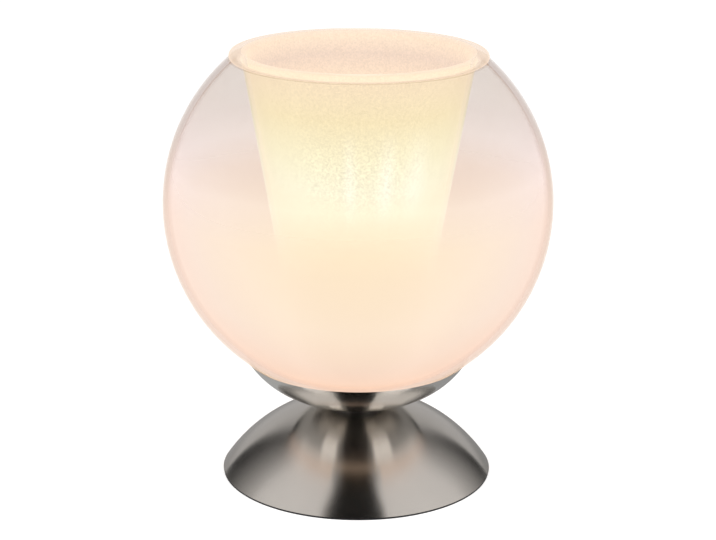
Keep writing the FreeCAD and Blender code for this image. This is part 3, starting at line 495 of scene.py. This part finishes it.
# %% The plain finishes and the bulb's glass
PLAIN = {
    "base_pad": plain_finish("black_foam", (0.012, 0.012, 0.013), 0.85, grain=900.0, depth=0.0003),
    "base_weight": plain_finish(
        "cast_iron", (0.10, 0.10, 0.105), 0.65, metallic=0.8, grain=300.0, depth=0.0006),
    "cable_inlet": plain_finish("black_plastic", (0.02, 0.02, 0.021), 0.45),
    "threaded_tube": plain_finish("zinc_plate", (0.62, 0.63, 0.65), 0.32, metallic=1.0),
    "cup_gasket": plain_finish("silicone", (0.70, 0.69, 0.65), 0.55, grain=400.0),
    "holder_cap": plain_finish("white_plastic", (0.80, 0.78, 0.74), 0.42),
    "holder_insert": plain_finish("steatite", (0.78, 0.75, 0.69), 0.60, grain=450.0, depth=0.0002),
    "holder_shell": plain_finish("sheet_brass", (0.78, 0.56, 0.24), 0.25, metallic=1.0),
    "bulb_contact": plain_finish("solder", (0.50, 0.50, 0.51), 0.40, metallic=1.0, grain=500.0, depth=0.0003),
    "bulb_insulator": plain_finish("black_glass", (0.012, 0.012, 0.016), 0.10, depth=0.00003),
    "bulb_cap": plain_finish("nickel_sheet", (0.72, 0.70, 0.66), 0.22, metallic=1.0),
    "bulb_filaments": plain_finish("glowing_phosphor", (1.0, 0.80, 0.42), 0.60, glow=2.0),
    "bulb_wires": plain_finish("bulb_wire", (0.60, 0.60, 0.61), 0.30, metallic=1.0),
}
BULB_CLEAR = clear_glass(
    "bulb_clear", (0.60, 0.55, 0.45), cover=[(0.0, 0.08), (0.6, 0.16), (1.0, 0.5)],
    glow=[(0.5, (0.60, 0.50, 0.30))], rim=[(0.5, 1.0)], gloss=0.5)
print(len(PLAIN), "plain finishes, and", BULB_CLEAR.name)

# %% Dress the other solids
SAME_FINISH = {
    "tube_bush_lower": "cable_inlet", "tube_bush_upper": "cable_inlet", "tube_nut": "threaded_tube",
    "flat_washer": "threaded_tube", "lock_washer": "threaded_tube", "neck_spacer": "threaded_tube",
    "terminal_screws": "threaded_tube", "holder_skirt": "holder_cap", "shade_ring": "holder_cap",
    "centre_contact": "holder_shell",
}


def dress(node, material):
    """Give a ready-made solid one finish."""
    mesh = nodes[node].data
    mesh.materials.clear()
    mesh.materials.append(material)
    mesh.polygons.foreach_set("material_index", [0] * len(mesh.polygons))


FINISHES = dict(PLAIN, bulb_glass=BULB_CLEAR, bulb_stem=BULB_CLEAR)
for node, like in SAME_FINISH.items():
    FINISHES[node] = PLAIN[like]
for node, material in FINISHES.items():
    dress(node, material)
print(len(FINISHES), "solids dressed")

# %% [markdown]
# ## The dome and the cup
# The dome and the cup are spun from sheet metal. Their solids are fine enough to be used as they are, so
# they only get their nickel and smooth shading. Edges that turn by more than a set angle, such as the
# dome's lower edge and the cup's rim, stay sharp, because a smoothed one would look like soft rubber.

# %% Dress the dome and the cup
METAL_SHARP = 30.0
for node, nickel in (("base_dome", DOME_NICKEL), ("cup", CUP_NICKEL)):
    dress(node, nickel)
    nodes[node].data.shade_smooth()
    nodes[node].data.set_sharp_from_angle(angle=math.radians(METAL_SHARP))
print("dome and cup dressed")

# %% [markdown]
# ## Turning a piece on the lathe
# The globe and the tumbler are round, so each is an outline swept round the axis. The outline is a list of
# radius and height, with its arcs worked out from a centre and two angles. We make the rings of points
# ourselves instead of using a screw modifier, because then each stretch of the outline can have its own
# finish, as the two faces of the glass need. The turned piece moves with the same body as the solid that
# it replaces, and that solid is hidden.

# %% Outlines
SAME_PLACE = 1e-7


def arc(centre, radius, start, end, steps):
    """Points on an arc in the plane of radius and height; angles in degrees from the outward direction."""
    angles = [math.radians(start + (end - start) * step / steps) for step in range(steps + 1)]
    return [(centre[0] + radius * math.cos(angle), centre[1] + radius * math.sin(angle)) for angle in angles]


def one_outline(stretches):
    """The stretches joined without double points, with a material's number for each point."""
    outline, finishes, materials = [], [], []
    for points, material in stretches:
        if material not in materials:
            materials.append(material)
        for point in points:
            if outline and (Vector(point) - Vector(outline[-1])).length < SAME_PLACE:
                continue
            outline.append(point)
            finishes.append(materials.index(material))
    return outline, finishes, materials


print("outlines can be drawn")

# %% Sweeping an outline
STEPS_ROUND = 192


def swept_mesh(name, outline, finishes):
    """The closed outline swept once round the axis."""
    work = bmesh.new()
    rings = []
    for step in range(STEPS_ROUND):
        angle = 2 * math.pi * step / STEPS_ROUND
        rings.append([work.verts.new((r * math.cos(angle), r * math.sin(angle), z)) for r, z in outline])
    for step, ring in enumerate(rings):
        following = rings[(step + 1) % STEPS_ROUND]
        for index in range(len(outline)):
            after = (index + 1) % len(outline)
            face = work.faces.new((ring[index], following[index], following[after], ring[after]))
            face.material_index = finishes[after] if after else finishes[index]
            face.smooth = True
    bmesh.ops.recalc_face_normals(work, faces=work.faces)
    mesh = bpy.data.meshes.new(name)
    work.to_mesh(mesh)
    work.free()
    return mesh


print("sweep with", STEPS_ROUND, "steps round")

# %% The lathe
GLASS_SHARP = 40.0


def turned(name, stretches, body, replaced):
    """Sweep stretches of outline, each a list of points and a material, round the axis as one closed skin."""
    outline, finishes, materials = one_outline(stretches)
    mesh = swept_mesh(name, outline, finishes)
    for material in materials:
        mesh.materials.append(material)
    mesh.set_sharp_from_angle(angle=math.radians(GLASS_SHARP))
    piece = bpy.data.objects.new(name, mesh)
    bpy.context.scene.collection.objects.link(piece)
    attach(piece, body)
    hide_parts(replaced)
    print("%s: %d faces" % (name, len(mesh.polygons)))


print("lathe ready")

# %% [markdown]
# ## The globe's shell
# The real globe is blown, drilled below for the lampholder and ground flat at the mouth. Both its faces are
# arcs about one centre that stop at the same hole and at the same flat mouth, so one function finds the
# angles for both radii.

# %% Turn the globe
GLOBE_ARC_STEPS = 96


def globe_arc_ends(radius):
    """The angles at which an arc of the globe reaches the hole below and the mouth above."""
    hole = -math.degrees(math.acos(GLOBE_HOLE / radius))
    mouth = math.degrees(math.asin((MOUTH - GLOBE_CENTRE) / radius))
    return hole, mouth


INNER_RADIUS = GLOBE_RADIUS - GLOBE_WALL
hole_angle, mouth_angle = globe_arc_ends(GLOBE_RADIUS)
inner_hole_angle, inner_mouth_angle = globe_arc_ends(INNER_RADIUS)
globe_outside = arc((0, GLOBE_CENTRE), GLOBE_RADIUS, hole_angle, mouth_angle, GLOBE_ARC_STEPS)
globe_inside = arc((0, GLOBE_CENTRE), INNER_RADIUS, inner_mouth_angle, inner_hole_angle, GLOBE_ARC_STEPS)
turned("globe_shell", [(globe_outside, GLOBE_CLEAR), (globe_inside, GLOBE_OPAL)], "root", "globe_glass")

# %% [markdown]
# ## The tumbler
# The real tumbler is a cone of thick glass, open at both ends, whose rolled lip rests on the globe's ground
# mouth. Its outline has three stretches: the clear outside, the lip with its round edge, and the frosted
# inside. A small bevel at the foot and a small slope under the lip catch the light as worked glass does.

# %% Turn the tumbler
TUMBLER_WALL = 0.0025
TUMBLER_FOOT = 0.034
TUMBLER_TOP = 0.059
FOOT_BEVEL = 0.0004
UNDER_LIP_DROP = 0.0008
UNDER_LIP_IN = 0.0002
UNDER_LIP_OUT = 0.0006
LIP_FLARE = 0.0026
LIP_STEPS = 12
FLARE_STEPS = 8

lip_round = (tumbler_high.z - MOUTH) / 2
tumbler_bore = TUMBLER_TOP - TUMBLER_WALL
foot_bore = TUMBLER_FOOT - TUMBLER_WALL
tumbler_outside = [
    (TUMBLER_FOOT - TUMBLER_WALL / 2, tumbler_low.z), (TUMBLER_FOOT - FOOT_BEVEL, tumbler_low.z),
    (TUMBLER_FOOT, tumbler_low.z + FOOT_BEVEL), (TUMBLER_TOP - UNDER_LIP_IN, MOUTH - UNDER_LIP_DROP),
    (TUMBLER_TOP + UNDER_LIP_OUT, MOUTH)]
lip = arc((tumbler_high.x - lip_round, MOUTH + lip_round), lip_round, -90, 90, LIP_STEPS)
flare = arc((tumbler_bore + LIP_FLARE, tumbler_high.z - LIP_FLARE), LIP_FLARE, 90, 180, FLARE_STEPS)
tumbler_inside = [(foot_bore, tumbler_low.z + FOOT_BEVEL), (foot_bore + FOOT_BEVEL, tumbler_low.z)]
tumbler_stretches = [(tumbler_outside, TUMBLER_CLEAR), (lip + flare[:1], LIP_GLASS),
                     (flare[1:] + tumbler_inside, TUMBLER_FROST)]
turned("frosted_tumbler", tumbler_stretches, "inner_glass", "inner_glass")

# %% [markdown]
# ## The table and the room
# The photograph is a plain product picture: white everywhere, no horizon and hardly a shadow. The world is
# an even white for the camera and for reflections, and a little less for the light that falls on things,
# so that colours render nearly as they are written. The table is a white sheet. For the camera, and for
# what metal and glass reflect, part of its white is its own, and the rest is lit, so that a faint shadow
# under the foot stays.

# %% World
ROOM_LIGHT = 0.75


def show_ray(tree):
    """1 for rays from the camera, from a reflection or through glass, 0 for light on its way to a surface."""
    path = add(tree, "LightPath")
    seen = math_node(tree, "MAXIMUM", path.outputs["Is Camera Ray"], path.outputs["Is Glossy Ray"])
    return math_node(tree, "MAXIMUM", seen, path.outputs["Is Transmission Ray"])


world = bpy.data.worlds.new("white_room")
bpy.context.scene.world = world
world.use_nodes = True
room = world.node_tree
room.nodes.clear()
level = add(room, "MapRange", {0: show_ray(room), 3: ROOM_LIGHT, 4: 1.0}).outputs[0]
sky = add(room, "Background", {"Color": full(1.0), "Strength": level})
add(room, "OutputWorld", {"Surface": sky.outputs[0]})
print("white room")

# %% Table
TABLE_SIZE = 12.0
TABLE_OWN_WHITE = 0.45

material, tree = start_material("white_table")
paper = add(tree, "BsdfDiffuse", {"Color": full(0.8)})
own_white = math_node(tree, "MULTIPLY", show_ray(tree), TABLE_OWN_WHITE)
own = add(tree, "Emission", {"Color": full(1.0), "Strength": own_white})
surface(tree, "AddShader", {0: paper.outputs[0], 1: own.outputs[0]})
bpy.ops.mesh.primitive_plane_add(size=TABLE_SIZE)
table = bpy.context.object
table.name = "table"
table.data.materials.append(material)
print("table of %.0f m" % TABLE_SIZE)

# %% [markdown]
# ## Soft lamps
# Two big soft lamps stand in front of the lamp, left and right, so that the glass and the table are lit
# evenly. Metal doesn't see them: what the nickel mirrors is staged apart, in the next step, where each
# bright and dark band can be placed on its own.

# %% Soft lamps
LAMP_ASIDE = 1.1
LAMP_FORWARD = 0.9
LAMP_HEIGHT = 0.9
LAMP_SIZE = 0.9
LAMP_POWER = 9.0


def soft_lamp(name, place):
    """A square area lamp that looks at the middle of the globe."""
    light = bpy.data.lights.new(name, "AREA")
    light.shape = "SQUARE"
    light.size = LAMP_SIZE
    light.energy = LAMP_POWER
    lamp = bpy.data.objects.new(name, light)
    bpy.context.scene.collection.objects.link(lamp)
    lamp.location = place
    aim = Vector((0, 0, GLOBE_CENTRE)) - Vector(place)
    lamp.rotation_euler = aim.to_track_quat("-Z", "Y").to_euler()
    lamp.visible_glossy = False


soft_lamp("left_lamp", (-LAMP_ASIDE, -LAMP_FORWARD, LAMP_HEIGHT))
soft_lamp("right_lamp", (LAMP_ASIDE, -LAMP_FORWARD, LAMP_HEIGHT))
print("two soft lamps")

# %% [markdown]
# ## Cards that only the metal sees
# A photographer lights shiny metal with what it mirrors. The dark wedge down the middle of the dome is the
# reflection of a black card in front, and the grey sides come from cards at the sides and behind, which
# shade from black to grey. Each card is a piece of a ball round the lamp, with its greys running from one
# side to the other, and only reflections see it, so it takes no light from the glass and no white from the
# picture. A shield just outside the globe's lower front keeps the globe's glow out of the middle of the
# dome, where the photograph is dark. The runners are cards that lie on the table, because the lower parts
# of the metal mirror the table.

# %% What a card shows
def card_material(name, greys, turn):
    """Card that shows one grey, or a run of greys from one side to the other, in reflections."""
    material, tree = start_material(name)
    across = add(tree, "MapRange", {
        0: turn_from_front(tree), 1: math.radians(turn[0]), 2: math.radians(turn[1])}).outputs[0]
    surface(tree, "Emission", {"Color": ramp(tree, across, greys), "Strength": 1.0})
    return material


print("cards can be painted")

# %% The shape of a card
CARD_STEPS = 16


def card(name, greys, radius, turn, rise):
    """A piece of a ball of card round the lamp; turn is from the front to the right, rise from level up."""
    work = bmesh.new()
    grid = []
    for row in range(CARD_STEPS + 1):
        up = math.radians(rise[0] + (rise[1] - rise[0]) * row / CARD_STEPS)
        grid.append([])
        for column in range(CARD_STEPS + 1):
            side = math.radians(turn[0] + (turn[1] - turn[0]) * column / CARD_STEPS)
            grid[-1].append(work.verts.new((radius * math.cos(up) * math.sin(side),
                                            -radius * math.cos(up) * math.cos(side), radius * math.sin(up))))
    for low_row, high_row in zip(grid, grid[1:]):
        for column in range(CARD_STEPS):
            work.faces.new((low_row[column], low_row[column + 1], high_row[column + 1], high_row[column]))
    mesh = bpy.data.meshes.new(name)
    work.to_mesh(mesh)
    work.free()
    mesh.materials.append(card_material(name, greys, turn))
    sheet = bpy.data.objects.new(name, mesh)
    bpy.context.scene.collection.objects.link(sheet)
    for kind in ("camera", "diffuse", "transmission", "shadow", "volume_scatter"):
        setattr(sheet, "visible_" + kind, False)
    return sheet


print("cards of", CARD_STEPS ** 2, "faces")

# %% Cards
SIDE_RISE = (0.0, 60.0)
CARDS = (        # name, greys from side to side, distance, turn and rise in degrees
    ("middle_card", [(0.0, 0.45), (0.12, 0.05), (0.2, 0.02), (1.0, 0.03)], 1.5, (-32.0, 27.0), (0.0, 75.0)),
    ("left_card", [(0.0, 0.0), (0.12, 0.0), (0.28, 0.09), (0.55, 0.30), (1.0, 0.75)], 1.6, (-142.0, -96.0),
     SIDE_RISE),
    ("right_card", [(0.0, 0.85), (0.45, 0.42), (0.72, 0.17), (0.88, 0.0), (1.0, 0.0)], 1.6, (102.0, 142.0),
     SIDE_RISE),
    ("left_back_card", [(0.0, 0.62)], 1.6, (-179.0, -142.0), SIDE_RISE),
    ("right_back_card", [(0.0, 0.62)], 1.6, (142.0, 179.0), SIDE_RISE),
)
for spec in CARDS:
    card(*spec)
print(len(CARDS), "cards")

# %% Shield and runners
SHIELD_RADIUS = 0.106
SHIELD_GREYS = [(0.0, 0.60), (0.14, 0.30), (0.28, 0.0), (0.72, 0.0), (0.86, 0.32), (1.0, 0.60)]
RUNNER_RISE = (0.0, 89.0)
RUNNER_HEIGHT = 0.0008
RUNNERS = (        # name, greys from side to side, reach, turn in degrees
    ("black_runner", [(0.0, 0.60), (0.12, 0.20), (0.24, 0.0), (0.78, 0.0), (0.90, 0.20), (1.0, 0.60)], 1.5,
     (-31.0, 27.0)),
    ("left_runner", [(0.0, 0.38)], 1.6, (-179.0, -55.0)),
    ("right_runner", [(0.0, 0.30)], 1.6, (55.0, 179.0)),
)
shield = card("glow_shield", SHIELD_GREYS, SHIELD_RADIUS, (-22.0, 22.0), (-54.0, -5.0))
shield.location.z = GLOBE_CENTRE
for name, greys, reach, turn in RUNNERS:
    runner = card(name, greys, reach, turn, RUNNER_RISE)
    runner.scale.z = 0.0
    runner.location.z = RUNNER_HEIGHT
print("one shield and", len(RUNNERS), "runners")

# %% [markdown]
# ## The camera
# The picture was taken with a long lens from about a metre, a little above the lamp and looking down on
# it. The outlines of the mouth, the cup and the foot in the photograph fix that place: the flatter an
# ellipse, the lower the camera. The lens is worked out from how many pixels of the photograph its focal
# length spans. The lamp leans by a little over a third of a degree in the picture, which is the camera's
# own tilt.

# %% Camera
PHOTO_WIDTH = 716
FOCAL_PIXELS = 1948.9
SENSOR = 36.0
CAMERA_ASIDE = 0.0002
CAMERA_FORWARD = 0.9645
CAMERA_OVER_GLOBE_CENTRE = 0.264
CAMERA_PITCH = 17.28
CAMERA_ROLL = 0.38
GLASS_LAYERS = 32

camera_data = bpy.data.cameras.new("camera")
camera_data.sensor_width = SENSOR
camera_data.lens = SENSOR * FOCAL_PIXELS / PHOTO_WIDTH
camera = bpy.data.objects.new("camera", camera_data)
bpy.context.scene.collection.objects.link(camera)
camera_place = Vector((CAMERA_ASIDE, -CAMERA_FORWARD, GLOBE_CENTRE + CAMERA_OVER_GLOBE_CENTRE))
looking = Matrix.Rotation(math.radians(90.0 - CAMERA_PITCH), 4, "X") @ Matrix.Rotation(
    math.radians(CAMERA_ROLL), 4, "Z")
camera.matrix_world = Matrix.Translation(camera_place) @ looking
bpy.context.scene.camera = camera
bpy.context.scene.view_settings.view_transform = "Standard"
bpy.context.scene.cycles.transparent_max_bounces = GLASS_LAYERS
print("lens %.1f mm" % camera_data.lens)
